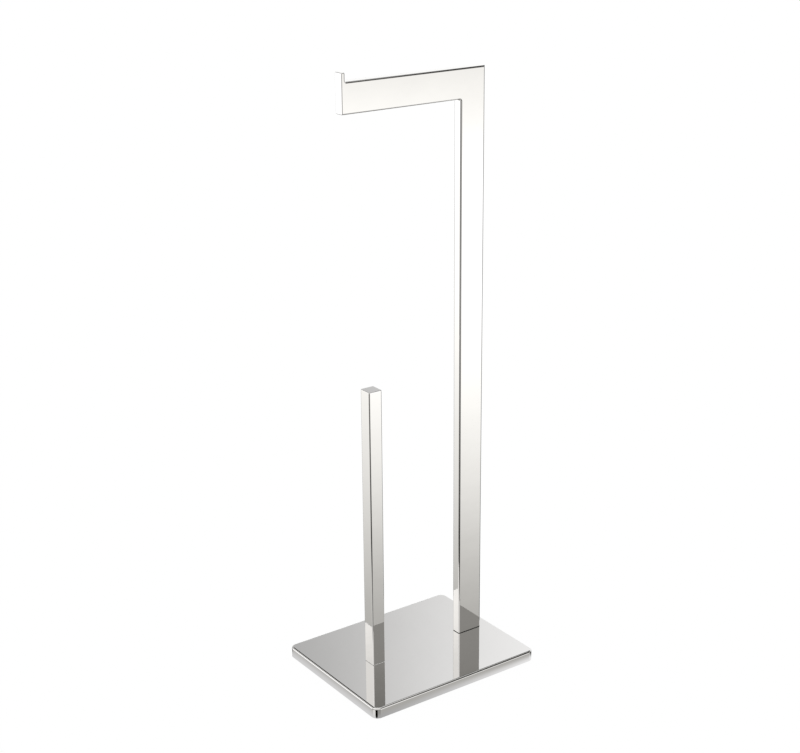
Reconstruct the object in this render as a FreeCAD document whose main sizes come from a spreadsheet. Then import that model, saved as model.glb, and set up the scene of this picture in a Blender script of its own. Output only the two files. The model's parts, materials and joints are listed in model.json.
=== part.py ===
import FreeCAD, Part
import os
import Sketcher

# A free-standing holder for toilet rolls, in millimetres.  A square-edged flat bar stands on a weighted base
# plate and turns into an open arm for the roll in use, and a lower square post carries the spare rolls.
# The origin is on the floor under the middle of the base.  +Z is up, and +X runs from the arm's open tip
# towards the column.  The whole holder is symmetric about the plane Y = 0.

SIZES = [
    # name, value, meaning
    ("base_length", 202, "base plate along X"),
    ("base_width", 160, "base plate along Y"),
    ("base_height", 12, "floor to the top of the base plate"),
    ("base_corner_radius", 7, "corners of the base plate seen from above"),
    ("base_edge_radius", 2, "rounding round the top of the base plate"),
    ("cover_sheet", 1.2, "steel sheet of the base cover"),
    ("rim_gap", 0.8, "floor to the rim of the base cover"),
    ("ballast_clearance", 0.3, "ballast plate to the wall of the cover"),
    ("pad_thickness", 3, "soft pad under the ballast plate"),
    ("pad_clearance", 0.6, "soft pad to the wall of the cover"),
    ("bar_width", 28.5, "wide face of the column"),
    ("arm_width", 29.8, "wide face of the arm"),
    ("bar_thickness", 11, "column and arm along Y"),
    ("bar_edge_radius", 1.1, "long edges of the column and of the arm"),
    ("bend_outer_radius", 0.4, "outer corner where the column meets the arm"),
    ("bend_inner_radius", 1.5, "inner corner where the column meets the arm"),
    ("tube_wall", 1.2, "wall of the column, arm and post tubes"),
    ("column_setback", 13.5, "end of the base plate to the outer face of the column"),
    ("column_height", 601, "top of the base plate to the top of the arm"),
    ("arm_length", 164.5, "outer face of the column to the tip of the arm"),
    ("lip_thickness", 4, "plate that closes the arm's tip"),
    ("lip_rise", 8.3, "height of that plate above the arm"),
    ("lip_edge_radius", 0.4, "edges round the outer face of that plate"),
    ("post_width", 15, "side of the square post"),
    ("post_edge_radius", 1, "long edges of the post"),
    ("post_height", 299, "top of the base plate to the top of the post"),
    ("post_setback", 47.25, "other end of the base plate to the outer face of the post"),
    ("cap_thickness", 1.5, "plate that closes the post's top"),
    ("cap_edge_radius", 1, "rounding round the top of that plate"),
    ("spigot_length", 8, "part of the cap inside the post"),
    ("insert_clearance", 0.05, "foot blocks and cap spigot to the tubes around them"),
    ("gasket_thickness", 0.5, "seal under the column and under the post"),
    ("gasket_inset", 0.4, "edge of a seal inside the outline of its tube"),
    ("block_height", 20, "threaded block in the foot of a tube"),
    ("screw_diameter", 5, "thread of the base screws"),
    ("screw_length", 20, "base screw under its head"),
    ("screw_chamfer", 0.6, "chamfer at the point of a base screw"),
    ("screw_spacing", 16, "between the two screws of the column"),
    ("head_diameter", 9.5, "button head of a base screw"),
    ("head_height", 2.75, "button head of a base screw"),
    ("head_dome_radius", 2.2, "rounding of the button head"),
    ("key_size", 3, "hexagon key across its flats"),
    ("key_depth", 1.8, "hexagon recess in the button head"),
    ("washer_diameter", 10, "plain washer"),
    ("washer_thickness", 1, "plain washer"),
    ("lock_washer_diameter", 9.2, "spring washer"),
    ("lock_washer_thickness", 1.2, "spring washer"),
    ("lock_washer_slit", 0.8, "cut through the spring washer"),
    ("screw_clearance", 0.25, "screw to the holes that it passes through, on each side"),
    ("ledge_thickness", 3.3, "steel left above the counterbores of the ballast plate"),
    ("counterbore_clearance", 0.5, "washer to its counterbore, on each side"),
    ("access_clearance", 1.5, "washer to the hole in the soft pad, on each side"),
]

NEAR = 0.01

# Lengths, places and levels that follow from the sheet.  Levels of the arm and of the post's top are measured
# from the foot of their tube, which stands on its seal.
FOOT_LEVEL = "(Sizes.base_height + Sizes.gasket_thickness)"
COLUMN_PLACE = "(Sizes.base_length / 2 - Sizes.column_setback - Sizes.bar_width / 2)"
POST_PLACE = "(Sizes.post_setback + Sizes.post_width / 2 - Sizes.base_length / 2)"
COVER_INNER_LENGTH = "(Sizes.base_length - 2 * Sizes.cover_sheet)"
COVER_INNER_WIDTH = "(Sizes.base_width - 2 * Sizes.cover_sheet)"
COVER_INNER_RADIUS = "(Sizes.base_corner_radius - Sizes.cover_sheet)"
BALLAST_THICKNESS = "(Sizes.base_height - Sizes.cover_sheet - Sizes.pad_thickness)"
CLEARANCE_HOLE = "(Sizes.screw_diameter + 2 * Sizes.screw_clearance)"
ARM_TOP = "(Sizes.column_height - Sizes.gasket_thickness)"
ARM_UNDERSIDE = f"({ARM_TOP} - Sizes.arm_width)"
COLUMN_FACE = "(Sizes.bar_width / 2)"
ARM_TIP = f"({COLUMN_FACE} - Sizes.arm_length)"
ARM_END = f"({ARM_TIP} + Sizes.lip_thickness)"
POST_TOP = "(Sizes.post_height - Sizes.gasket_thickness - Sizes.cap_thickness)"
LEDGE_LEVEL = "(Sizes.base_height - Sizes.cover_sheet - Sizes.ledge_thickness)"
WASHER_LEVEL = f"({LEDGE_LEVEL} - Sizes.washer_thickness)"
LOCK_WASHER_LEVEL = f"({WASHER_LEVEL} - Sizes.lock_washer_thickness)"

COLUMN_SCREWS = [f"({COLUMN_PLACE} {side} Sizes.screw_spacing / 2)" for side in "-+"]


# ---- building blocks ----

def new_sheet(doc):
    """Write the driving sizes into a spreadsheet, one per row, and name each value cell."""
    sheet = doc.addObject("Spreadsheet::Sheet", "Sizes")
    for row, (name, value, meaning) in enumerate(SIZES, 1):
        sheet.set(f"A{row}", name)
        sheet.set(f"B{row}", str(value))
        sheet.set(f"C{row}", meaning)
        sheet.setAlias(f"B{row}", name)
    doc.recompute()


def new_body(doc, label, x="0", z="0"):
    """Add a body whose own origin stands at x, z in the holder."""
    body = doc.addObject("PartDesign::Body", label)
    body.Label = label
    body.setExpression("Placement.Base.x", x)
    body.setExpression("Placement.Base.z", z)
    return body


def origin_feature(body, role):
    """Find a plane or an axis of the body's own origin."""
    return next(feature for feature in body.Origin.OriginFeatures if feature.Role == role)


def new_sketch(body, name, role="XY_Plane", lift="0"):
    """Add an empty sketch on a plane of the body's origin, raised off that plane by lift."""
    sketch = body.newObject("Sketcher::SketchObject", name)
    sketch.AttachmentSupport = [(origin_feature(body, role), "")]
    sketch.MapMode = "FlatFace"
    sketch.setExpression("AttachmentOffset.Base.z", lift)
    return sketch


def bind(sketch, constraint, name, expression):
    """Add a constraint and tie its value to an expression."""
    sketch.renameConstraint(sketch.addConstraint(constraint), name)
    sketch.setExpression(f"Constraints.{name}", expression)


def values_of(sketch, expressions):
    """Work out what expressions come to in the sketch's document."""
    return [float(sketch.evalExpression(expression)) for expression in expressions]


def pin(sketch, name, line, end, place):
    """Hold one end of a line, or the middle of a circle, at a place given as two expressions."""
    across, up = values_of(sketch, place)
    bind(sketch, Sketcher.Constraint("DistanceX", -1, 1, line, end, across), f"{name}_across", place[0])
    bind(sketch, Sketcher.Constraint("DistanceY", -1, 1, line, end, up), f"{name}_up", place[1])


def add_polygon(sketch, corners):
    """Draw a closed polygon through corners given as pairs of expressions."""
    points = [FreeCAD.Vector(*values_of(sketch, corner)) for corner in corners]
    first = sketch.GeometryCount
    count = len(corners)
    for start, end in zip(points, points[1:] + points[:1]):
        sketch.addGeometry(Part.LineSegment(start, end))
    for side in range(count):
        following = (side + 1) % count
        sketch.addConstraint(Sketcher.Constraint("Coincident", first + side, 2, first + following, 1))
    for side, corner in enumerate(corners):
        pin(sketch, f"corner_{first + side}", first + side, 1, corner)


def add_rectangle(sketch, length, width):
    """Draw a rectangle round the sketch's origin."""
    half_length = f"({length}) / 2"
    half_width = f"({width}) / 2"
    left, bottom = f"-({half_length})", f"-({half_width})"
    right, top = half_length, half_width
    add_polygon(sketch, [(left, bottom), (right, bottom), (right, top), (left, top)])


def add_circle(sketch, diameter, x="0", y="0"):
    """Draw a circle."""
    middle_x, middle_y, size = values_of(sketch, (x, y, diameter))
    middle = FreeCAD.Vector(middle_x, middle_y)
    circle = sketch.addGeometry(Part.Circle(middle, FreeCAD.Vector(0, 0, 1), size / 2))
    pin(sketch, f"middle_{circle}", circle, 3, (x, y))
    bind(sketch, Sketcher.Constraint("Diameter", circle, size), f"diameter_{circle}", diameter)


def extrude(body, kind, name, sketch, length, both_ways=False, turned=False):
    """Add a Pad or a Pocket; a Pocket must take something away."""
    before = body.Shape.Volume if body.Tip else 0
    feature = body.newObject(f"PartDesign::{kind}", name)
    feature.Profile = sketch
    feature.SideType = "Symmetric" if both_ways else "One side"
    feature.Reversed = turned
    feature.setExpression("Length", length)
    body.Document.recompute()
    if kind == "Pocket" and body.Shape.Volume > before - NEAR:
        raise RuntimeError(f"{body.Label}: {name} cuts nothing")
    return feature


def dress(body, kind, name, size, chosen):
    """Round or chamfer the edges of the body so far for which chosen(bounding box) is true."""
    base = body.Tip
    edges = [f"Edge{n}" for n, edge in enumerate(base.Shape.Edges, 1) if chosen(edge.BoundBox)]
    feature = body.newObject(f"PartDesign::{kind}", name)
    feature.Base = (base, edges)
    feature.setExpression("Radius" if kind == "Fillet" else "Size", size)
    body.Document.recompute()


def upright(box):
    """Tell whether an edge runs along Z."""
    return box.XLength < NEAR and box.YLength < NEAR


def level(box, height):
    """Tell whether an edge lies flat at a height."""
    return abs(box.ZMin - height) < NEAR and abs(box.ZMax - height) < NEAR


# ---- the base ----

def make_base_cover(doc):
    """Pressed steel tray, open underneath, with a hole for each base screw."""
    body = new_body(doc, "base_cover", z="Sizes.rim_gap")
    outline = new_sketch(body, "outline")
    add_rectangle(outline, "Sizes.base_length", "Sizes.base_width")
    block = extrude(body, "Pad", "block", outline, "Sizes.base_height - Sizes.rim_gap")
    top = block.Shape.BoundBox.ZMax
    dress(body, "Fillet", "corners", "Sizes.base_corner_radius", upright)
    dress(body, "Fillet", "top_edge", "Sizes.base_edge_radius", lambda box: level(box, top))
    rounded = body.Tip
    underside = next(n for n, face in enumerate(rounded.Shape.Faces, 1) if level(face.BoundBox, 0))
    shell = body.newObject("PartDesign::Thickness", "shell")
    shell.Base = (rounded, [f"Face{underside}"])
    shell.Reversed = True
    shell.setExpression("Value", "Sizes.cover_sheet")
    doc.recompute()
    cut_screw_holes(body, CLEARANCE_HOLE, "Sizes.base_height")
    return body


def make_ballast_plate(doc):
    """Thick steel plate that fills the cover, counterbored from below."""
    body = new_body(doc, "ballast_plate", z="Sizes.pad_thickness")
    outline = new_sketch(body, "outline")
    clearance = "2 * Sizes.ballast_clearance"
    add_rectangle(outline, f"{COVER_INNER_LENGTH} - {clearance}", f"{COVER_INNER_WIDTH} - {clearance}")
    plate = extrude(body, "Pad", "plate", outline, BALLAST_THICKNESS)
    top = plate.Shape.BoundBox.ZMax
    dress(body, "Fillet", "corners", f"{COVER_INNER_RADIUS} - Sizes.ballast_clearance", upright)
    inner_edge_radius = "Sizes.base_edge_radius - Sizes.cover_sheet"
    dress(body, "Chamfer", "top_edge", inner_edge_radius, lambda box: level(box, top))
    cut_screw_holes(body, CLEARANCE_HOLE, "Sizes.base_height")
    counterbore = "Sizes.washer_diameter + 2 * Sizes.counterbore_clearance"
    cut_screw_holes(body, counterbore, f"{LEDGE_LEVEL} - Sizes.pad_thickness", "counterbores")
    return body


def make_base_pad(doc):
    """Soft sheet that the holder stands on, with a hole to reach each screw."""
    body = new_body(doc, "base_pad")
    outline = new_sketch(body, "outline")
    clearance = "2 * Sizes.pad_clearance"
    add_rectangle(outline, f"{COVER_INNER_LENGTH} - {clearance}", f"{COVER_INNER_WIDTH} - {clearance}")
    extrude(body, "Pad", "sheet", outline, "Sizes.pad_thickness")
    dress(body, "Fillet", "corners", f"{COVER_INNER_RADIUS} - Sizes.pad_clearance", upright)
    cut_screw_holes(body, "Sizes.washer_diameter + 2 * Sizes.access_clearance", "Sizes.pad_thickness")
    return body


def cut_screw_holes(body, diameter, depth, name="screw_holes"):
    """Cut a hole upwards from the body's underside for each screw of the column and of the post."""
    sketch = new_sketch(body, f"{name}_sketch")
    for x in COLUMN_SCREWS + [POST_PLACE]:
        add_circle(sketch, diameter, x)
    extrude(body, "Pocket", name, sketch, depth, turned=True)


# ---- the column and the arm ----

def bar_outline(inset):
    """Corners of the bent bar seen from the side, with its long faces moved inwards by inset."""
    outer, inner = f"{COLUMN_FACE} - {inset}", f"{inset} - {COLUMN_FACE}"
    top, under = f"{ARM_TOP} - {inset}", f"{ARM_UNDERSIDE} + {inset}"
    return [(outer, "0"), (outer, top), (ARM_END, top), (ARM_END, under), (inner, under), (inner, "0")]


def make_mitred_tube(doc, label, cut_away):
    """Column and arm as one bent tube, with the one named by cut_away taken off along the mitre."""
    body = new_body(doc, label, COLUMN_PLACE, FOOT_LEVEL)
    outline = new_sketch(body, "outline", "XZ_Plane")
    add_polygon(outline, bar_outline("0"))
    bar = extrude(body, "Pad", "bar", outline, "Sizes.bar_thickness", both_ways=True)
    whole = bar.Shape.BoundBox

    def at_bend(box):
        return box.XLength < NEAR and box.ZLength < NEAR and box.XMin > whole.XMin + NEAR and box.ZMin > NEAR

    def outside(box):
        return box.XMin > whole.XMax - NEAR

    def long_edge(box):
        on_face = box.YLength < NEAR and abs(abs(box.YMin) - whole.YMax) < NEAR
        return on_face and box.XMax > whole.XMin + NEAR and box.ZMax > NEAR

    dress(body, "Fillet", "outer_bend", "Sizes.bend_outer_radius", lambda box: at_bend(box) and outside(box))
    dress(body, "Fillet", "inner_bend", "Sizes.bend_inner_radius", lambda box: at_bend(box) and not outside(box))
    dress(body, "Fillet", "long_edges", "Sizes.bar_edge_radius", long_edge)
    hollow = new_sketch(body, "hollow", "XZ_Plane")
    add_polygon(hollow, bar_outline("Sizes.tube_wall"))
    extrude(body, "Pocket", "bore", hollow, "Sizes.bar_thickness - 2 * Sizes.tube_wall", both_ways=True)
    cut_mitre(body, cut_away)
    return body


def cut_mitre(body, cut_away):
    """Cut off the arm or the column at the mitre plane through both corners of the bend."""
    reach = 30
    right, left = f"{COLUMN_FACE} + {reach} * Sizes.bar_width", f"{COLUMN_FACE} - {reach} * Sizes.bar_width"
    above, below = f"{ARM_TOP} + {reach} * Sizes.arm_width", f"{ARM_TOP} - {reach} * Sizes.arm_width"
    far_corner = {"arm": (left, above), "column": (right, below)}[cut_away]
    sketch = new_sketch(body, "mitre_sketch", "XZ_Plane")
    add_polygon(sketch, [(left, below), (right, above), far_corner])
    extrude(body, "Pocket", "mitre", sketch, "2 * Sizes.bar_thickness", both_ways=True)


def make_arm_end_plate(doc):
    """Flat plate that closes the arm's tip and stands up above it as a lip."""
    body = new_body(doc, "arm_end_plate", COLUMN_PLACE, FOOT_LEVEL)
    outline = new_sketch(body, "outline", "XZ_Plane")
    top, under = f"{ARM_TOP} + Sizes.lip_rise", ARM_UNDERSIDE
    add_polygon(outline, [(ARM_TIP, under), (ARM_END, under), (ARM_END, top), (ARM_TIP, top)])
    plate = extrude(body, "Pad", "plate", outline, "Sizes.bar_thickness", both_ways=True)
    tip = plate.Shape.BoundBox.XMin
    dress(body, "Fillet", "ends", "Sizes.bar_edge_radius", lambda box: box.YLength + box.ZLength < NEAR)
    dress(body, "Fillet", "outer_edge", "Sizes.lip_edge_radius", lambda box: abs(box.XMax - tip) < NEAR)
    return body


# ---- the post ----

def make_post_tube(doc):
    """Square tube for the spare rolls."""
    body = new_body(doc, "post_tube", POST_PLACE, FOOT_LEVEL)
    outline = new_sketch(body, "outline")
    add_rectangle(outline, "Sizes.post_width", "Sizes.post_width")
    extrude(body, "Pad", "bar", outline, POST_TOP)
    dress(body, "Fillet", "long_edges", "Sizes.post_edge_radius", upright)
    hollow = new_sketch(body, "hollow")
    inside = "Sizes.post_width - 2 * Sizes.tube_wall"
    add_rectangle(hollow, inside, inside)
    extrude(body, "Pocket", "bore", hollow, POST_TOP, turned=True)
    return body


def make_post_cap(doc):
    """Plate that closes the post's top, with a spigot inside the tube."""
    body = new_body(doc, "post_cap", POST_PLACE, f"{FOOT_LEVEL} + {POST_TOP}")
    outline = new_sketch(body, "outline")
    add_rectangle(outline, "Sizes.post_width", "Sizes.post_width")
    plate = extrude(body, "Pad", "plate", outline, "Sizes.cap_thickness")
    top = plate.Shape.BoundBox.ZMax
    dress(body, "Fillet", "corners", "Sizes.post_edge_radius", upright)
    dress(body, "Fillet", "top_edge", "Sizes.cap_edge_radius", lambda box: level(box, top))
    inside = "Sizes.post_width - 2 * Sizes.tube_wall - 2 * Sizes.insert_clearance"
    spigot = new_sketch(body, "spigot_sketch")
    add_rectangle(spigot, inside, inside)
    extrude(body, "Pad", "spigot", spigot, "Sizes.spigot_length", turned=True)
    return body


# ---- what holds the tubes to the base ----

def make_flat_piece(doc, label, place, level_z, outline, holes):
    """Rectangular plate or block of length, width and height, with screw holes right through it."""
    length, width, height = outline
    body = new_body(doc, label, place, level_z)
    sketch = new_sketch(body, "outline")
    add_rectangle(sketch, length, width)
    extrude(body, "Pad", "slab", sketch, height)
    diameter, places = holes
    hole_sketch = new_sketch(body, "holes_sketch")
    for x in places:
        add_circle(hole_sketch, diameter, x)
    extrude(body, "Pocket", "holes", hole_sketch, height, turned=True)
    return body


def make_fixings(doc, name, place, section, holes):
    """Seal under a tube of the given section and threaded block inside its foot."""
    seal = [f"{side} - 2 * Sizes.gasket_inset" for side in section]
    inside = [f"{side} - 2 * Sizes.tube_wall - 2 * Sizes.insert_clearance" for side in section]
    gasket = make_flat_piece(doc, f"{name}_gasket", place, "Sizes.base_height",
                             seal + ["Sizes.gasket_thickness"], (CLEARANCE_HOLE, holes))
    block = make_flat_piece(doc, f"{name}_foot_block", place, FOOT_LEVEL,
                            inside + ["Sizes.block_height"], ("Sizes.screw_diameter", holes))
    return [gasket, block]


def make_screw(doc, label, place):
    """Button head screw with a hexagon recess, point upwards, measured from under its head."""
    body = new_body(doc, label, place, LOCK_WASHER_LEVEL)
    shank, head = "Sizes.screw_diameter / 2", "Sizes.head_diameter / 2"
    point = f"{shank} - Sizes.screw_chamfer"
    profile = new_sketch(body, "profile", "XZ_Plane")
    add_polygon(profile, [
        ("0", "-Sizes.head_height"), (head, "-Sizes.head_height"), (head, "0"), (shank, "0"),
        (shank, "Sizes.screw_length - Sizes.screw_chamfer"), (point, "Sizes.screw_length"),
        ("0", "Sizes.screw_length"),
    ])
    turned = body.newObject("PartDesign::Revolution", "turned")
    turned.Profile = profile
    turned.ReferenceAxis = (origin_feature(body, "Z_Axis"), [""])
    turned.Angle = 360
    doc.recompute()
    bottom = turned.Shape.BoundBox.ZMin
    dress(body, "Fillet", "dome", "Sizes.head_dome_radius", lambda box: level(box, bottom))
    recess = new_sketch(body, "recess_sketch", lift="-Sizes.head_height")
    key_radius = "Sizes.key_size / sqrt(3)"
    add_polygon(recess, [(f"{key_radius} * cos({angle} deg)", f"{key_radius} * sin({angle} deg)")
                         for angle in range(0, 360, 60)])
    extrude(body, "Pocket", "recess", recess, "Sizes.key_depth", turned=True)
    return body


def make_ring(doc, label, place, level_z, diameter, thickness):
    """Flat ring round a screw."""
    body = new_body(doc, label, place, level_z)
    sketch = new_sketch(body, "outline")
    add_circle(sketch, diameter)
    add_circle(sketch, CLEARANCE_HOLE)
    extrude(body, "Pad", "ring", sketch, thickness)
    return body


def make_lock_washer(doc, label, place):
    """Spring washer: a ring cut through on one side."""
    body = make_ring(doc, label, place, LOCK_WASHER_LEVEL, "Sizes.lock_washer_diameter",
                     "Sizes.lock_washer_thickness")
    slit = new_sketch(body, "slit_sketch")
    half_slit = "Sizes.lock_washer_slit / 2"
    edge = "Sizes.lock_washer_diameter"
    add_polygon(slit, [("0", f"-{half_slit}"), (edge, f"-{half_slit}"), (edge, half_slit), ("0", half_slit)])
    extrude(body, "Pocket", "slit", slit, "Sizes.lock_washer_thickness", turned=True)
    return body


def make_fastener(doc, name, number, place):
    """Screw with its plain washer and its spring washer."""
    return [
        make_screw(doc, f"{name}_screw{number}", place),
        make_ring(doc, f"{name}_washer{number}", place, WASHER_LEVEL, "Sizes.washer_diameter",
                  "Sizes.washer_thickness"),
        make_lock_washer(doc, f"{name}_lock_washer{number}", place),
    ]


# ---- the whole holder ----

def make_holder(doc):
    """Build every piece in place and return them all."""
    pieces = [make_base_cover(doc), make_ballast_plate(doc), make_base_pad(doc)]
    pieces.append(make_mitred_tube(doc, "column_tube", cut_away="arm"))
    pieces.append(make_mitred_tube(doc, "arm_tube", cut_away="column"))
    pieces.append(make_arm_end_plate(doc))
    bar = ["Sizes.bar_width", "Sizes.bar_thickness"]
    half_spacing = "Sizes.screw_spacing / 2"
    pieces += make_fixings(doc, "column", COLUMN_PLACE, bar, [f"-{half_spacing}", half_spacing])
    for number, place in enumerate(COLUMN_SCREWS, 1):
        pieces += make_fastener(doc, "column", f"_{number}", place)
    pieces += [make_post_tube(doc), make_post_cap(doc)]
    pieces += make_fixings(doc, "post", POST_PLACE, ["Sizes.post_width"] * 2, ["0"])
    pieces += make_fastener(doc, "post", "", POST_PLACE)
    doc.recompute()
    return pieces


def check(doc, pieces):
    """Stop if any object failed or any piece isn't one sound solid."""
    for item in doc.Objects:
        if {"Invalid", "Error"} & set(item.State):
            raise RuntimeError(f"{item.Label} failed: {item.State}")
    for piece in pieces:
        shape = piece.Shape
        if shape.isNull() or not shape.isValid() or len(shape.Solids) != 1:
            raise RuntimeError(f"{piece.Label} isn't one sound solid")


def export(pieces):
    """Write each piece to a file named after it."""
    os.makedirs("parts", exist_ok=True)
    for piece in pieces:
        piece.Shape.exportStep(f"parts/{piece.Label}.step")


document = FreeCAD.newDocument("RollHolder")
new_sheet(document)
holder = make_holder(document)
check(document, holder)
export(holder)
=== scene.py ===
import json
import math
import bmesh
import bpy
from mathutils import Matrix, Vector


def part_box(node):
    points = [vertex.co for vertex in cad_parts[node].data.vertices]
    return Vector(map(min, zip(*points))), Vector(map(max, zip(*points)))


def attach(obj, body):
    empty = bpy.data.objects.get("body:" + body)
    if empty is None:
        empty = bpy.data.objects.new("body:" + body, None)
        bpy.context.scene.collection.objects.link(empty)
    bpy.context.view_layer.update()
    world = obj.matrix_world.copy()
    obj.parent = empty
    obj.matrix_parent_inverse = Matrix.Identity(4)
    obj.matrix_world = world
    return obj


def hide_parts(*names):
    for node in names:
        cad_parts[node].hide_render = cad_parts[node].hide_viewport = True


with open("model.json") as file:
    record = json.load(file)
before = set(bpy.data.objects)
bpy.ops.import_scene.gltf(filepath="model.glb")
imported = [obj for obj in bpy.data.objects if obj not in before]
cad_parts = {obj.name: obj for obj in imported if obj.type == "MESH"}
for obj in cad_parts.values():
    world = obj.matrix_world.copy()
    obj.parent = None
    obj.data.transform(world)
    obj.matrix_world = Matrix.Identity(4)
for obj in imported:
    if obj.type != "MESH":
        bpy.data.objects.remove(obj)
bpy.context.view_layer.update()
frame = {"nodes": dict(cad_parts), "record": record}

MM = 0.001
WELD = 0.002 * MM

# Outlines of the visible pieces, from the frame.
COVER_LOW, COVER_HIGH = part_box("base_cover")
COLUMN_LOW, COLUMN_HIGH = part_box("column_tube")
ARM_LOW, ARM_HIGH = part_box("arm_tube")
PLATE_LOW, PLATE_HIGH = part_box("arm_end_plate")
POST_LOW, POST_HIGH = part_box("post_tube")
CAP_LOW, CAP_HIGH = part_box("post_cap")
BALLAST_LOW, BALLAST_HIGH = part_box("ballast_plate")

# Radii and wall of the chromed pieces.
SHEET = COVER_HIGH.z - BALLAST_HIGH.z
COVER_CORNER = 7 * MM
COVER_TOP_EDGE = 2 * MM
BAR_EDGE = 1.6 * MM
OUTER_BEND = 0.3 * MM
INNER_BEND = 1.5 * MM
FOOT_EDGE = 0.2 * MM
LIP_EDGE = 0.6 * MM
LIP_FILLET = 1.2 * MM
POST_EDGE = 1.1 * MM
CAP_EDGE = 0.4 * MM
SEAL_REACH = 0.3 * MM
SEAL_CORNER = 1 * MM

# Steps in each kind of rounding, and what counts as a crease or as facing down.
CORNER_STEPS = 16
EDGE_STEPS = 8
FILLET_STEPS = 6
SMALL_STEPS = 4
BEND_STEPS = 3
FOOT_STEPS = 2
CREASE = math.radians(50)
DOWNWARD = -0.9
FULL_WEIGHT = 100


# ---- colour ----

WARM_BELOW = 252
GREEN_SHARE = 3


def linear(code):
    """Turn an sRGB hex colour into the linear RGBA that the shaders take."""
    channels = [int(code[start:start + 2], 16) / 255 for start in (1, 3, 5)]
    return tuple(c / 12.92 if c <= 0.04045 else ((c + 0.055) / 1.055) ** 2.4 for c in channels) + (1,)


def grey(tone, warmth=0):
    """Give the linear RGBA of a tone from 0 to 255, with blue, and a little green, taken off below white."""
    warmth = 0 if tone > WARM_BELOW else warmth
    green = max(tone - warmth // GREEN_SHARE, 0)
    blue = max(tone - warmth, 0)
    return linear(f"#{tone:02X}{green:02X}{blue:02X}")


# ---- node trees ----

def add_node(tree, kind, settings=None, links=None):
    """Add a node, set its properties, and fill its inputs with numbers or with other nodes' outputs."""
    node = tree.nodes.new(kind)
    for name, value in (settings or {}).items():
        setattr(node, name, value)
    for name, value in (links or {}).items():
        if isinstance(value, bpy.types.NodeSocket):
            tree.links.new(value, node.inputs[name])
        else:
            node.inputs[name].default_value = value
    return node


def new_material(name):
    """Make an empty node material, and give it with its node tree and its object coordinates."""
    material = bpy.data.materials.new(name)
    material.use_nodes = True
    tree = material.node_tree
    tree.nodes.clear()
    place = add_node(tree, "ShaderNodeTexCoord").outputs["Object"]
    return material, tree, place


def set_ramp(node, stops):
    """Fill a colour ramp with (position, colour) stops."""
    elements = node.color_ramp.elements
    while len(elements) > 1:
        elements.remove(elements[-1])
    elements[0].position, elements[0].color = stops[0]
    for position, colour in stops[1:]:
        elements.new(position).color = colour


# ---- finishes ----

def polished_chrome():
    """Bright nickel-chrome plate on polished steel: a clear mirror, faintly hazed and slowly wavy."""
    material, tree, place = new_material("polished_chrome")
    haze = add_node(tree, "ShaderNodeTexNoise", links={
        "Vector": place, "Scale": 1 / (14 * MM), "Detail": 4})
    roughness = add_node(tree, "ShaderNodeMapRange", links={
        "Value": haze.outputs["Fac"], "From Min": 0.35, "From Max": 0.7, "To Min": 0.012, "To Max": 0.035})
    cast = add_node(tree, "ShaderNodeTexNoise", links={"Vector": place, "Scale": 1 / (45 * MM), "Detail": 2})
    tint = add_node(tree, "ShaderNodeMix", {"data_type": "RGBA"}, {
        "Factor": cast.outputs["Fac"], "A": linear("#F4F3F3"), "B": linear("#F1F0F0")})
    wave = add_node(tree, "ShaderNodeTexNoise", links={"Vector": place, "Scale": 1 / (25 * MM), "Detail": 2})
    bump = add_node(tree, "ShaderNodeBump", links={
        "Height": wave.outputs["Fac"], "Strength": 1.0, "Distance": 0.03 * MM})
    shader = add_node(tree, "ShaderNodeBsdfPrincipled", links={
        "Base Color": tint.outputs["Result"], "Metallic": 1.0, "Roughness": roughness.outputs["Result"],
        "Normal": bump.outputs["Normal"]})
    add_node(tree, "ShaderNodeOutputMaterial", links={"Surface": shader.outputs["BSDF"]})
    return material


def zinc_plated_steel():
    """Bright zinc over steel fasteners: pale blue-grey with a fine crystalline spangle."""
    material, tree, place = new_material("zinc_plated_steel")
    spangle = add_node(tree, "ShaderNodeTexVoronoi", links={"Vector": place, "Scale": 1 / (0.6 * MM)})
    tint = add_node(tree, "ShaderNodeMix", {"data_type": "RGBA"}, {
        "Factor": spangle.outputs["Distance"], "A": linear("#C9D0D8"), "B": linear("#B4BAC2")})
    roughness = add_node(tree, "ShaderNodeMapRange", links={
        "Value": spangle.outputs["Distance"], "To Min": 0.24, "To Max": 0.38})
    shader = add_node(tree, "ShaderNodeBsdfPrincipled", links={
        "Base Color": tint.outputs["Result"], "Metallic": 1.0, "Roughness": roughness.outputs["Result"]})
    add_node(tree, "ShaderNodeOutputMaterial", links={"Surface": shader.outputs["BSDF"]})
    return material


def phosphated_spring_steel():
    """Hardened spring steel with a thin phosphate coat: dull dark grey, slightly brown."""
    material, tree, place = new_material("phosphated_spring_steel")
    cloud = add_node(tree, "ShaderNodeTexNoise", links={
        "Vector": place, "Scale": 1 / (1.5 * MM), "Detail": 5})
    tint = add_node(tree, "ShaderNodeMix", {"data_type": "RGBA"}, {
        "Factor": cloud.outputs["Fac"], "A": linear("#3B3835"), "B": linear("#5A5652")})
    shader = add_node(tree, "ShaderNodeBsdfPrincipled", links={
        "Base Color": tint.outputs["Result"], "Metallic": 0.85, "Roughness": 0.5})
    add_node(tree, "ShaderNodeOutputMaterial", links={"Surface": shader.outputs["BSDF"]})
    return material


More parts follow.
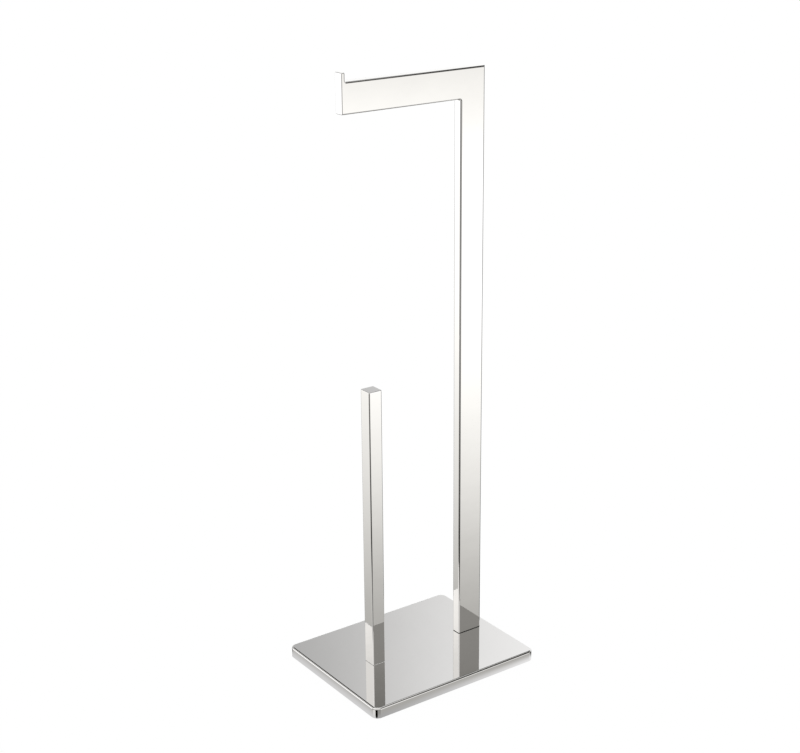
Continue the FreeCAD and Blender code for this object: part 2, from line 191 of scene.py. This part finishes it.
def blackened_mill_steel():
    """Hot-rolled plate with a black oxide finish: near black, mottled, with shallow mill pits."""
    material, tree, place = new_material("blackened_mill_steel")
    scale = add_node(tree, "ShaderNodeTexNoise", links={"Vector": place, "Scale": 1 / (9 * MM), "Detail": 8})
    tint = add_node(tree, "ShaderNodeMix", {"data_type": "RGBA"}, {
        "Factor": scale.outputs["Fac"], "A": linear("#232426"), "B": linear("#3A3B3E")})
    pits = add_node(tree, "ShaderNodeTexNoise", links={"Vector": place, "Scale": 1 / (1.2 * MM), "Detail": 3})
    bump = add_node(tree, "ShaderNodeBump", links={
        "Height": pits.outputs["Fac"], "Strength": 1.0, "Distance": 0.04 * MM})
    shader = add_node(tree, "ShaderNodeBsdfPrincipled", links={
        "Base Color": tint.outputs["Result"], "Metallic": 0.7, "Roughness": 0.55,
        "Normal": bump.outputs["Normal"]})
    add_node(tree, "ShaderNodeOutputMaterial", links={"Surface": shader.outputs["BSDF"]})
    return material


def turned_steel():
    """Machined bar stock: bright grey with fine tool lines across it."""
    material, tree, place = new_material("turned_steel")
    lines = add_node(tree, "ShaderNodeTexWave", {"bands_direction": "Z"}, {
        "Vector": place, "Scale": 1 / (2 * math.pi * 0.3 * MM), "Distortion": 1.5})
    bump = add_node(tree, "ShaderNodeBump", links={
        "Height": lines.outputs["Fac"], "Strength": 1.0, "Distance": 0.01 * MM})
    tint = add_node(tree, "ShaderNodeMix", {"data_type": "RGBA"}, {
        "Factor": lines.outputs["Fac"], "A": linear("#8E9093"), "B": linear("#A6A8AA")})
    shader = add_node(tree, "ShaderNodeBsdfPrincipled", links={
        "Base Color": tint.outputs["Result"], "Metallic": 1.0, "Roughness": 0.34,
        "Normal": bump.outputs["Normal"]})
    add_node(tree, "ShaderNodeOutputMaterial", links={"Surface": shader.outputs["BSDF"]})
    return material


def black_eva_foam():
    """Closed-cell EVA sheet, skived from a block: matte black with fine open cells on its cut face."""
    material, tree, place = new_material("black_eva_foam")
    cells = add_node(tree, "ShaderNodeTexVoronoi", links={"Vector": place, "Scale": 1 / (0.7 * MM)})
    bump = add_node(tree, "ShaderNodeBump", links={
        "Height": cells.outputs["Distance"], "Strength": 1.0, "Distance": 0.15 * MM})
    tint = add_node(tree, "ShaderNodeMix", {"data_type": "RGBA"}, {
        "Factor": cells.outputs["Distance"], "A": linear("#1B1B1C"), "B": linear("#2C2C2D")})
    shader = add_node(tree, "ShaderNodeBsdfPrincipled", links={
        "Base Color": tint.outputs["Result"], "Roughness": 0.85, "Normal": bump.outputs["Normal"]})
    add_node(tree, "ShaderNodeOutputMaterial", links={"Surface": shader.outputs["BSDF"]})
    return material


def moulded_seal(name, dark, light, transmission):
    """Thin die-cut elastomer seal: satin, with a faint flow mottle."""
    material, tree, place = new_material(name)
    mottle = add_node(tree, "ShaderNodeTexNoise", links={"Vector": place, "Scale": 1 / (2 * MM), "Detail": 3})
    tint = add_node(tree, "ShaderNodeMix", {"data_type": "RGBA"}, {
        "Factor": mottle.outputs["Fac"], "A": linear(dark), "B": linear(light)})
    shader = add_node(tree, "ShaderNodeBsdfPrincipled", links={
        "Base Color": tint.outputs["Result"], "Roughness": 0.6, "Transmission Weight": transmission})
    add_node(tree, "ShaderNodeOutputMaterial", links={"Surface": shader.outputs["BSDF"]})
    return material


FINISHES = {
    "chrome": polished_chrome(),
    "zinc_steel": zinc_plated_steel(),
    "spring_steel": phosphated_spring_steel(),
    "ballast_steel": blackened_mill_steel(),
    "block_steel": turned_steel(),
    "pad_foam": black_eva_foam(),
    "seal_rubber": moulded_seal("black_rubber_seal", "#141414", "#202020", 0.0),
    "seal_clear": moulded_seal("clear_silicone_seal", "#D6D6D3", "#E2E2DF", 0.2),
}


# ---- shaping ----

def block(low, high):
    """Start a mesh as a box between two corners."""
    bm = bmesh.new()
    corners = bmesh.ops.create_cube(bm, size=1)["verts"]
    bmesh.ops.scale(bm, vec=high - low, verts=corners)
    bmesh.ops.translate(bm, vec=(low + high) / 2, verts=corners)
    return bm


def slab(outline, low_y, high_y):
    """Start a mesh as a flat outline of (x, z) points, extruded along Y."""
    bm = bmesh.new()
    face = bm.faces.new([bm.verts.new((x, low_y, z)) for x, z in outline])
    far_side = bmesh.ops.extrude_face_region(bm, geom=[face])["geom"]
    far_verts = [item for item in far_side if isinstance(item, bmesh.types.BMVert)]
    bmesh.ops.translate(bm, vec=(0, high_y - low_y, 0), verts=far_verts)
    bmesh.ops.recalc_face_normals(bm, faces=bm.faces)
    return bm


def round_edges(bm, radius, segments, chosen):
    """Round the edges for which chosen(one end, other end) is true."""
    edges = [edge for edge in bm.edges if chosen(edge.verts[0].co, edge.verts[1].co)]
    bmesh.ops.bevel(bm, geom=edges, offset=radius, offset_type="OFFSET", segments=segments, profile=0.5,
                    affect="EDGES", clamp_overlap=False, material=-1)


def same(first, second):
    """Tell whether two lengths are equal."""
    return abs(first - second) < WELD


def upright(a, b):
    """Tell whether an edge runs along Z."""
    return same(a.x, b.x) and same(a.y, b.y)


def at_height(z):
    """Choose the edges that lie flat at one height."""
    return lambda a, b: same(a.z, z) and same(b.z, z)


def across(x, z):
    """Choose the edges that run along Y through one point."""
    return lambda a, b: same(a.x, x) and same(b.x, x) and same(a.z, z) and same(b.z, z)


def add_piece(name, bm, slot, *nodes):
    """Turn a finished mesh into a smooth-shaded piece that stands for CAD nodes."""
    bmesh.ops.remove_doubles(bm, verts=bm.verts, dist=WELD)
    bmesh.ops.recalc_face_normals(bm, faces=bm.faces)
    mesh = bpy.data.meshes.new(name)
    bm.to_mesh(mesh)
    bm.free()
    mesh.shade_smooth()
    mesh.set_sharp_from_angle(angle=CREASE)
    mesh.materials.append(FINISHES[slot])
    piece = bpy.data.objects.new(name, mesh)
    bpy.context.scene.collection.objects.link(piece)
    flats = piece.modifiers.new("true_flats", "WEIGHTED_NORMAL")
    flats.weight = FULL_WEIGHT
    flats.keep_sharp = True
    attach(piece, "root")
    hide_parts(*nodes)
    return piece


# ---- pieces ----

def base_cover_shell():
    """Pressed tray: rounded corners and top edge, one sheet thick, open underneath."""
    bm = block(COVER_LOW, COVER_HIGH)
    round_edges(bm, COVER_CORNER, CORNER_STEPS, upright)
    round_edges(bm, COVER_TOP_EDGE, EDGE_STEPS, at_height(COVER_HIGH.z))
    underside = [face for face in bm.faces if face.normal.z < DOWNWARD]
    bmesh.ops.delete(bm, geom=underside, context="FACES_ONLY")
    bmesh.ops.solidify(bm, geom=bm.faces[:], thickness=SHEET)
    add_piece("base_cover_shell", bm, "chrome", "base_cover")


def bent_bar():
    """Column, arm and lip as one polished bar, with its corners and long edges rounded."""
    outer, inner, foot = COLUMN_HIGH.x, COLUMN_LOW.x, COLUMN_LOW.z
    top, under, lip_top = ARM_HIGH.z, PLATE_LOW.z, PLATE_HIGH.z
    tip, lip_inside = PLATE_LOW.x, PLATE_HIGH.x
    outline = [(outer, foot), (outer, top), (lip_inside, top), (lip_inside, lip_top), (tip, lip_top),
               (tip, under), (inner, under), (inner, foot)]
    bm = slab(outline, COLUMN_LOW.y, COLUMN_HIGH.y)
    round_edges(bm, INNER_BEND, EDGE_STEPS, across(inner, under))
    round_edges(bm, LIP_FILLET, FILLET_STEPS, across(lip_inside, top))

    def along_bar(a, b):
        at_foot = same(a.z, foot) and same(b.z, foot)
        at_tip = same(a.x, tip) and same(b.x, tip)
        on_lip = same(a.z, lip_top) and same(b.z, lip_top)
        return same(a.y, b.y) and not (at_foot or at_tip or on_lip)

    def round_lip(a, b):
        return (same(a.x, tip) and same(b.x, tip)) or (same(a.z, lip_top) and same(b.z, lip_top))

    round_edges(bm, BAR_EDGE, EDGE_STEPS, along_bar)
    round_edges(bm, LIP_EDGE, SMALL_STEPS, round_lip)
    round_edges(bm, OUTER_BEND, BEND_STEPS, across(outer, top))
    return bm


def mitred_part(name, node, side, *more_nodes):
    """The bent bar's part on one side of the mitre: +1 is the column, and -1 the arm with its lip."""
    bm = bent_bar()
    outer, inner = Vector((COLUMN_HIGH.x, 0, ARM_HIGH.z)), Vector((COLUMN_LOW.x, 0, PLATE_LOW.z))
    mitre = outer - inner
    cut = bmesh.ops.bisect_plane(
        bm, geom=bm.verts[:] + bm.edges[:] + bm.faces[:], dist=WELD / 10,
        plane_co=outer, plane_no=(side * mitre.z, 0, -side * mitre.x), clear_inner=True)
    rim = [item for item in cut["geom_cut"] if isinstance(item, bmesh.types.BMEdge)]
    bmesh.ops.edgeloop_fill(bm, edges=rim)
    if side > 0:
        round_edges(bm, FOOT_EDGE, FOOT_STEPS, at_height(COLUMN_LOW.z))
    add_piece(name, bm, "chrome", node, *more_nodes)


def post_bar():
    """Square post with rounded long edges, cut square at its foot."""
    bm = block(POST_LOW, POST_HIGH)
    round_edges(bm, POST_EDGE, EDGE_STEPS, upright)
    add_piece("post_bar", bm, "chrome", "post_tube")


def post_top():
    """Cap welded flush on the post, softened round its top."""
    low = Vector((CAP_LOW.x, CAP_LOW.y, POST_HIGH.z))
    bm = block(low, CAP_HIGH)
    round_edges(bm, POST_EDGE, EDGE_STEPS, upright)
    round_edges(bm, CAP_EDGE, SMALL_STEPS, at_height(CAP_HIGH.z))
    add_piece("post_top", bm, "chrome", "post_cap")


def post_seal():
    """Clear seal under the post, its sides pressed out almost to the post's faces."""
    bm = bmesh.new()
    bm.from_mesh(frame["nodes"]["post_gasket"].data)
    low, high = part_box("post_gasket")
    for vert in bm.verts:
        for axis in (0, 1):
            if same(vert.co[axis], low[axis]):
                vert.co[axis] -= SEAL_REACH
            elif same(vert.co[axis], high[axis]):
                vert.co[axis] += SEAL_REACH

    def outer_corner(a, b):
        return upright(a, b) and not (low.x < a.x < high.x or low.y < a.y < high.y)

    bmesh.ops.remove_doubles(bm, verts=bm.verts, dist=WELD)
    round_edges(bm, SEAL_CORNER, SMALL_STEPS, outer_corner)
    add_piece("post_seal", bm, "seal_clear", "post_gasket")


def smooth_copy(node, slot):
    """A turned or cut piece: the CAD shape with its loose triangles joined and its rounds shaded smooth."""
    bm = bmesh.new()
    bm.from_mesh(frame["nodes"][node].data)
    add_piece(f"{node}_smooth", bm, slot, node)


def dress_cad_nodes():
    """Give every CAD node the finish of its material slot."""
    slots = {part["node"]: part["material_slot"] for part in frame["record"]["subparts"]}
    for name, node in frame["nodes"].items():
        node.data.materials.clear()
        node.data.materials.append(FINISHES[slots[name]])


# ---- studio ----

# What the chrome mirrors: for each side of the holder, tones from 0 to 255 at rising elevations in degrees.
# Azimuth 0 is where a viewer who looks along +Y stands, and 90 is towards +X.  Each side is laid over those
# before it, full over its half width and gone after its fade.  Dark tones draw the lines along rounded edges.
SURROUND_WARMTH = 1
SURROUND = [
    (-90, 120), (-31, 35), (-10, 55), (2, 130), (6, 236), (11, 236), (15, 210), (20, 158), (27, 163),
    (32, 160), (38, 30), (55, 15), (59, 190), (90, 210)]
SIDES = [
    # azimuth, half width, fade, warmth, tones
    (-88, 30, 10, 4, [
        (-90, 210), (-31, 205), (-27, 200), (-25.5, 70), (-8, 110), (4, 200), (10, 240), (90, 210)]),
    (-10, 36, 6, 4, [
        (-90, 140), (-31, 135), (-27.5, 125), (-26, 60), (-24.5, 80), (-21, 115), (-17, 145), (-9, 150),
        (4, 190), (30, 200), (90, 210)]),
    (-50, 16, 5, 4, [
        (-90, 10), (-27, 4), (-25.5, 25), (-24.5, 65), (-21, 105), (-17, 135), (-9, 145), (4, 190), (30, 200),
        (90, 210)]),
    (37, 6, 5, 5, [
        (-90, 130), (-31.4, 146), (-30.5, 164), (-29.5, 161), (-28.4, 166), (-27, 177), (-25.7, 192),
        (-23.6, 217), (-20, 246), (-17, 255), (-12, 255), (-10.4, 244), (-8.8, 231), (-4, 190), (1, 12),
        (21, 12), (26, 133), (28.4, 133), (29.3, 131), (30, 124), (31.2, 114), (34, 20), (42, 10),
        (46, 205), (90, 210)]),
    (25.5, 4, 2.5, 4, [
        (-90, 140), (-31.4, 156), (-20, 246), (-17, 255), (-8.8, 231), (0, 200), (20, 190), (25, 60),
        (36, 35), (60, 190), (90, 210)]),
    (59, 15, 4, 5, [
        (-90, 185), (-31, 188), (-29.3, 190), (-28.2, 80), (-8, 60), (2, 180), (27, 180), (31, 12), (50, 12),
        (53, 190), (90, 210)]),
    (218, 13, 6, 5, [
        (-90, 155), (-31, 164), (-29.5, 162), (-27.6, 173), (-26, 190), (-24, 208), (-20, 234), (-17, 250),
        (-10, 255), (10, 255), (15, 90), (24, 110), (27, 246), (28.4, 234), (29.5, 218), (33, 212),
        (42, 150), (50, 120), (90, 210)]),
    (118, 20, 13, 1, [
        (-90, 60), (-31, 10), (-28.5, 10), (-26, 150), (-8, 190), (2, 200), (6, 236), (11, 236), (20, 222),
        (33, 227), (39, 30), (51, 12), (54, 180), (90, 210)]),
]
LOWEST, HIGHEST = -90, 90
HALF_TURN = 180
CHROME_LOSS = 0.80

# The white floor: how it is seen, and a painted reflection that the chrome mirrors, a strip round the base
# that glows only for mirror rays.
FLOOR_HALF = 12
FLOOR_DROP = 0.2 * MM
FLOOR_GLOW = 0.98
FLOOR_TONE = 40
STRIP_END = 15 * MM
STRIP_LEFT, STRIP_RIGHT, STRIP_BESIDE = 0.4, 0.9, 0.7
CORNER_DEPTH = 1.5 * MM

# The camera: its angles in degrees, its place along its own axes in metres, and its lens in millimetres.
CAMERA_AZIMUTH, CAMERA_ELEVATION, CAMERA_ROLL = -35.297, 19.52, -0.498
CAMERA_BACK, CAMERA_UP, CAMERA_RIGHT = 1.69743, 0.296582, -0.012077
SENSOR_WIDTH = 36
FOCAL_LENGTH = 72.41283
NEAREST, FARTHEST = 0.05, 50


def elevation_ramp(tree, elevation, tones, warmth):
    """Colour by elevation in degrees."""
    share = add_node(tree, "ShaderNodeMapRange", links={
        "Value": elevation, "From Min": LOWEST, "From Max": HIGHEST}).outputs["Result"]
    ramp = add_node(tree, "ShaderNodeValToRGB", links={"Fac": share})
    set_ramp(ramp, [((angle - LOWEST) / (HIGHEST - LOWEST), grey(tone, warmth))
                    for angle, tone in tones])
    return ramp.outputs["Color"]


def light_tent():
    """Soft white tent: plain to the eye and to matte surfaces, with darker gaps in mirror surfaces."""
    world = bpy.data.worlds.new("light_tent")
    bpy.context.scene.world = world
    world.use_nodes = True
    tree = world.node_tree
    tree.nodes.clear()
    direction = add_node(tree, "ShaderNodeTexCoord").outputs["Generated"]
    axes = add_node(tree, "ShaderNodeSeparateXYZ", links={"Vector": direction}).outputs
    forward = add_node(tree, "ShaderNodeMath", {"operation": "MULTIPLY"}, {0: axes["Y"], 1: -1})
    turn = add_node(tree, "ShaderNodeMath", {"operation": "ARCTAN2"}, {0: axes["X"], 1: forward.outputs[0]})
    azimuth = add_node(tree, "ShaderNodeMath", {"operation": "DEGREES"}, {0: turn.outputs[0]})
    rise = add_node(tree, "ShaderNodeMath", {"operation": "ARCSINE"}, {0: axes["Z"]})
    elevation = add_node(tree, "ShaderNodeMath", {"operation": "DEGREES"}, {0: rise.outputs[0]}).outputs[0]
    colour = elevation_ramp(tree, elevation, SURROUND, SURROUND_WARMTH)
    for centre, half_width, fade, warmth, tones in SIDES:
        offset = add_node(tree, "ShaderNodeMath", {"operation": "SUBTRACT"}, {
            0: azimuth.outputs[0], 1: centre})
        turned = add_node(tree, "ShaderNodeMath", {"operation": "WRAP"}, {
            0: offset.outputs[0], 1: HALF_TURN, 2: -HALF_TURN})
        away = add_node(tree, "ShaderNodeMath", {"operation": "ABSOLUTE"}, {0: turned.outputs[0]})
        window = add_node(tree, "ShaderNodeMapRange", {"interpolation_type": "SMOOTHSTEP"}, {
            "Value": away.outputs[0], "From Min": half_width + fade, "From Max": half_width})
        own = elevation_ramp(tree, elevation, tones, warmth)
        colour = add_node(tree, "ShaderNodeMix", {"data_type": "RGBA"}, {
            "Factor": window.outputs["Result"], "A": colour, "B": own}).outputs["Result"]
    mirrored = add_node(tree, "ShaderNodeBackground", links={"Color": colour, "Strength": 1 / CHROME_LOSS})
    plain = add_node(tree, "ShaderNodeBackground", links={"Color": grey(255), "Strength": 1.0})
    ray = add_node(tree, "ShaderNodeLightPath")
    both = add_node(tree, "ShaderNodeMixShader", links={
        0: ray.outputs["Is Glossy Ray"], 1: plain.outputs[0], 2: mirrored.outputs[0]})
    add_node(tree, "ShaderNodeOutputWorld", links={"Surface": both.outputs["Shader"]})


def pale_floor():
    """Seamless white floor; chrome sees only its painted reflection, a glowing strip close round the base,
    and the tent beyond.
    """
    bm = bmesh.new()
    bmesh.ops.create_grid(bm, x_segments=1, y_segments=1, size=FLOOR_HALF)
    bmesh.ops.translate(bm, vec=(0, 0, -FLOOR_DROP), verts=bm.verts)
    mesh = bpy.data.meshes.new("pale_floor")
    bm.to_mesh(mesh)
    bm.free()
    floor = bpy.data.objects.new("pale_floor", mesh)
    bpy.context.scene.collection.objects.link(floor)
    material, tree, place = new_material("matte_white_floor")
    half = COVER_HIGH - Vector((0, 0, COVER_HIGH.z))
    folded = add_node(tree, "ShaderNodeVectorMath", {"operation": "ABSOLUTE"}, {0: place})
    beyond = add_node(tree, "ShaderNodeVectorMath", {"operation": "SUBTRACT"}, {
        0: folded.outputs[0], 1: half})
    clear = add_node(tree, "ShaderNodeVectorMath", {"operation": "MAXIMUM"}, {0: beyond.outputs[0]})
    apart = add_node(tree, "ShaderNodeVectorMath", {"operation": "LENGTH"}, {0: clear.outputs[0]})
    # Painted reflection: a strip that glows for mirror rays only, fading out 15 mm from the base and cut off
    # beyond its front-left corner.
    strip = add_node(tree, "ShaderNodeMapRange", {"interpolation_type": "SMOOTHERSTEP"}, {
        "Value": apart.outputs["Value"], "From Min": STRIP_END, "From Max": 0.0})
    ahead = add_node(tree, "ShaderNodeVectorMath", {"operation": "SUBTRACT"}, {0: COVER_LOW, 1: place})
    front = add_node(tree, "ShaderNodeSeparateXYZ", links={0: ahead.outputs[0]}).outputs
    corner = add_node(tree, "ShaderNodeMath", {"operation": "MINIMUM"}, {0: front["X"], 1: front["Y"]})
    outside = add_node(tree, "ShaderNodeMapRange", links={
        "Value": corner.outputs[0], "From Min": 0, "From Max": -CORNER_DEPTH})
    painted_strip_mask = add_node(tree, "ShaderNodeMath", {"operation": "MULTIPLY"}, {
        0: strip.outputs["Result"], 1: outside.outputs["Result"]})
    glow = add_node(tree, "ShaderNodeEmission", links={"Color": grey(255), "Strength": FLOOR_GLOW})
    paper = add_node(tree, "ShaderNodeBsdfDiffuse", links={"Color": grey(FLOOR_TONE)})
    seen = add_node(tree, "ShaderNodeAddShader", links={0: glow.outputs[0], 1: paper.outputs[0]})
    # The painted reflection's glow is brighter towards +X, and even beside the left end.
    along = add_node(tree, "ShaderNodeSeparateXYZ", links={0: place}).outputs["X"]
    rising = add_node(tree, "ShaderNodeMapRange", links={
        "Value": along, "From Min": COVER_LOW.x, "From Max": COVER_HIGH.x, "To Min": STRIP_LEFT,
        "To Max": STRIP_RIGHT})
    beside = add_node(tree, "ShaderNodeMath", {"operation": "LESS_THAN"}, {0: along, 1: COVER_LOW.x})
    even = add_node(tree, "ShaderNodeMath", {"operation": "MULTIPLY"}, {
        0: beside.outputs[0], 1: STRIP_BESIDE})
    level = add_node(tree, "ShaderNodeMath", {"operation": "MAXIMUM"}, {
        0: rising.outputs["Result"], 1: even.outputs[0]})
    bright = add_node(tree, "ShaderNodeEmission", links={"Color": grey(255), "Strength": level.outputs[0]})
    nothing = add_node(tree, "ShaderNodeBsdfTransparent")
    mirrored = add_node(tree, "ShaderNodeMixShader", links={
        0: painted_strip_mask.outputs[0], 1: nothing.outputs[0], 2: bright.outputs[0]})
    ray = add_node(tree, "ShaderNodeLightPath")
    both = add_node(tree, "ShaderNodeMixShader", links={
        0: ray.outputs["Is Glossy Ray"], 1: seen.outputs[0], 2: mirrored.outputs[0]})
    from_below = add_node(tree, "ShaderNodeNewGeometry").outputs["Backfacing"]
    one_sided = add_node(tree, "ShaderNodeMixShader", links={
        0: from_below, 1: both.outputs["Shader"], 2: nothing.outputs[0]})
    add_node(tree, "ShaderNodeOutputMaterial", links={"Surface": one_sided.outputs["Shader"]})
    mesh.materials.append(material)


def add_camera():
    """Long lens from the front left, a little above the holder."""
    azimuth, elevation, roll = (
        math.radians(angle) for angle in (CAMERA_AZIMUTH, CAMERA_ELEVATION, CAMERA_ROLL))
    back = Vector((math.sin(azimuth) * math.cos(elevation), -math.cos(azimuth) * math.cos(elevation),
                   math.sin(elevation)))
    level = Vector((math.cos(azimuth), math.sin(azimuth), 0))
    upward = back.cross(level)
    right = level * math.cos(roll) + upward * math.sin(roll)
    up = upward * math.cos(roll) - level * math.sin(roll)
    place = back * CAMERA_BACK + up * CAMERA_UP + right * CAMERA_RIGHT
    lens = bpy.data.cameras.new("long_lens")
    lens.sensor_width = SENSOR_WIDTH
    lens.lens = FOCAL_LENGTH
    lens.clip_start = NEAREST
    lens.clip_end = FARTHEST
    camera = bpy.data.objects.new("camera", lens)
    bpy.context.scene.collection.objects.link(camera)
    camera.matrix_world = Matrix.Translation(place) @ Matrix((right, up, back)).transposed().to_4x4()
    bpy.context.scene.camera = camera


dress_cad_nodes()
base_cover_shell()
mitred_part("column_bar", "column_tube", 1)
mitred_part("arm_bar", "arm_tube", -1, "arm_end_plate")
post_bar()
post_top()
post_seal()
for screw in ("column_screw_1", "column_screw_2", "post_screw"):
    smooth_copy(screw, "zinc_steel")
light_tent()
pale_floor()
add_camera()
bpy.context.scene.view_settings.view_transform = "Standard"
